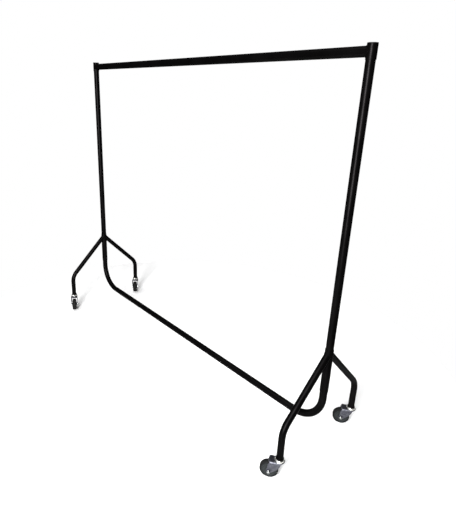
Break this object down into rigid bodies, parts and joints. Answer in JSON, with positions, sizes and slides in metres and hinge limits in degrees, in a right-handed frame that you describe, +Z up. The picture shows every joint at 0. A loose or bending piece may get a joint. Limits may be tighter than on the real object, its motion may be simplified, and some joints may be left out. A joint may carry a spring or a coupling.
{
  "type": "rolling clothes rack",
  "caption": "Black tube clothes rack on swivel casters: straight hanging rail between two uprights, U-shaped bottom rail and splayed bent legs with zinc forks.",
  "frame": {"origin": "on the floor, midway between the two uprights and under the middle of the overall depth, so that the uprights stand 15.4 mm behind it, because the casters trail forward", "axes": "+X along the hanging rail to the right, -Y to the front, +Z up"},
  "size_m": [1.9076, 0.5744, 1.6103],
  "materials": {
    "black_paint": "black gloss powder coat, light orange peel",
    "black_plastic": "moulded black plastic, satin",
    "bright_steel": "bright zinc plated steel",
    "zinc_plate": "dull blue-grey zinc plated pressed sheet",
    "hub_plastic": "dark blue-grey moulded plastic, fine grain",
    "tyre_rubber": "black rubber tread, matt"
  },
  "bodies": {
    "frame": {"top_rail": "black_paint", "bottom_rail": "black_paint", "upright_left": "black_paint", "rail_sleeve_left": "black_paint", "leg_sleeve_left": "black_paint", "sleeve_cap_left": "black_plastic", "upright_right": "black_paint", "rail_sleeve_right": "black_paint", "leg_sleeve_right": "black_paint", "sleeve_cap_right": "black_plastic", "leg_front_left": "black_paint", "stem_socket_front_left": "black_plastic", "caster_stem_front_left": "bright_steel", "raceway_cup_front_left": "bright_steel", "leg_front_right": "black_paint", "stem_socket_front_right": "black_plastic", "caster_stem_front_right": "bright_steel", "raceway_cup_front_right": "bright_steel", "leg_back_left": "black_paint", "stem_socket_back_left": "black_plastic", "caster_stem_back_left": "bright_steel", "raceway_cup_back_left": "bright_steel", "leg_back_right": "black_paint", "stem_socket_back_right": "black_plastic", "caster_stem_back_right": "bright_steel", "raceway_cup_back_right": "bright_steel"},
    "swivel_front_left": {"ball_ring_front_left": "bright_steel", "caster_fork_front_left": "zinc_plate", "axle_bolt_front_left": "bright_steel", "axle_nut_front_left": "bright_steel", "axle_bush_front_left": "bright_steel"},
    "wheel_front_left": {"wheel_core_front_left": "hub_plastic", "tyre_front_left": "tyre_rubber"},
    "swivel_front_right": {"ball_ring_front_right": "bright_steel", "caster_fork_front_right": "zinc_plate", "axle_bolt_front_right": "bright_steel", "axle_nut_front_right": "bright_steel", "axle_bush_front_right": "bright_steel"},
    "wheel_front_right": {"wheel_core_front_right": "hub_plastic", "tyre_front_right": "tyre_rubber"},
    "swivel_back_left": {"ball_ring_back_left": "bright_steel", "caster_fork_back_left": "zinc_plate", "axle_bolt_back_left": "bright_steel", "axle_nut_back_left": "bright_steel", "axle_bush_back_left": "bright_steel"},
    "wheel_back_left": {"wheel_core_back_left": "hub_plastic", "tyre_back_left": "tyre_rubber"},
    "swivel_back_right": {"ball_ring_back_right": "bright_steel", "caster_fork_back_right": "zinc_plate", "axle_bolt_back_right": "bright_steel", "axle_nut_back_right": "bright_steel", "axle_bush_back_right": "bright_steel"},
    "wheel_back_right": {"wheel_core_back_right": "hub_plastic", "tyre_back_right": "tyre_rubber"}
  },
  "joints": [
    {"name": "swivel_front_left_turn", "type": "hinge", "parent": "frame", "child": "swivel_front_left", "pos_m": [-0.932, -0.2346, 0.085], "axis": [0, 0, 1], "continuous": true},
    {"name": "wheel_front_left_roll", "type": "hinge", "parent": "swivel_front_left", "child": "wheel_front_left", "pos_m": [-0.89845, -0.25244, 0.0375], "axis": [0.4695, 0.8829, 0], "continuous": true},
    {"name": "swivel_front_right_turn", "type": "hinge", "parent": "frame", "child": "swivel_front_right", "pos_m": [0.932, -0.2346, 0.085], "axis": [0, 0, 1], "continuous": true},
    {"name": "wheel_front_right_roll", "type": "hinge", "parent": "swivel_front_right", "child": "wheel_front_right", "pos_m": [0.90126, -0.25694, 0.0375], "axis": [0.5878, -0.809, 0], "continuous": true},
    {"name": "swivel_back_left_turn", "type": "hinge", "parent": "frame", "child": "swivel_back_left", "pos_m": [-0.932, 0.2654, 0.085], "axis": [0, 0, 1], "continuous": true},
    {"name": "wheel_back_left_roll", "type": "hinge", "parent": "swivel_back_left", "child": "wheel_back_left", "pos_m": [-0.90206, 0.242, 0.0375], "axis": [0.6157, 0.788, 0], "continuous": true},
    {"name": "swivel_back_right_turn", "type": "hinge", "parent": "frame", "child": "swivel_back_right", "pos_m": [0.932, 0.2654, 0.085], "axis": [0, 0, 1], "continuous": true},
    {"name": "wheel_back_right_roll", "type": "hinge", "parent": "swivel_back_right", "child": "wheel_back_right", "pos_m": [0.9005, 0.24415, 0.0375], "axis": [0.5592, -0.829, 0], "continuous": true}
  ]
}
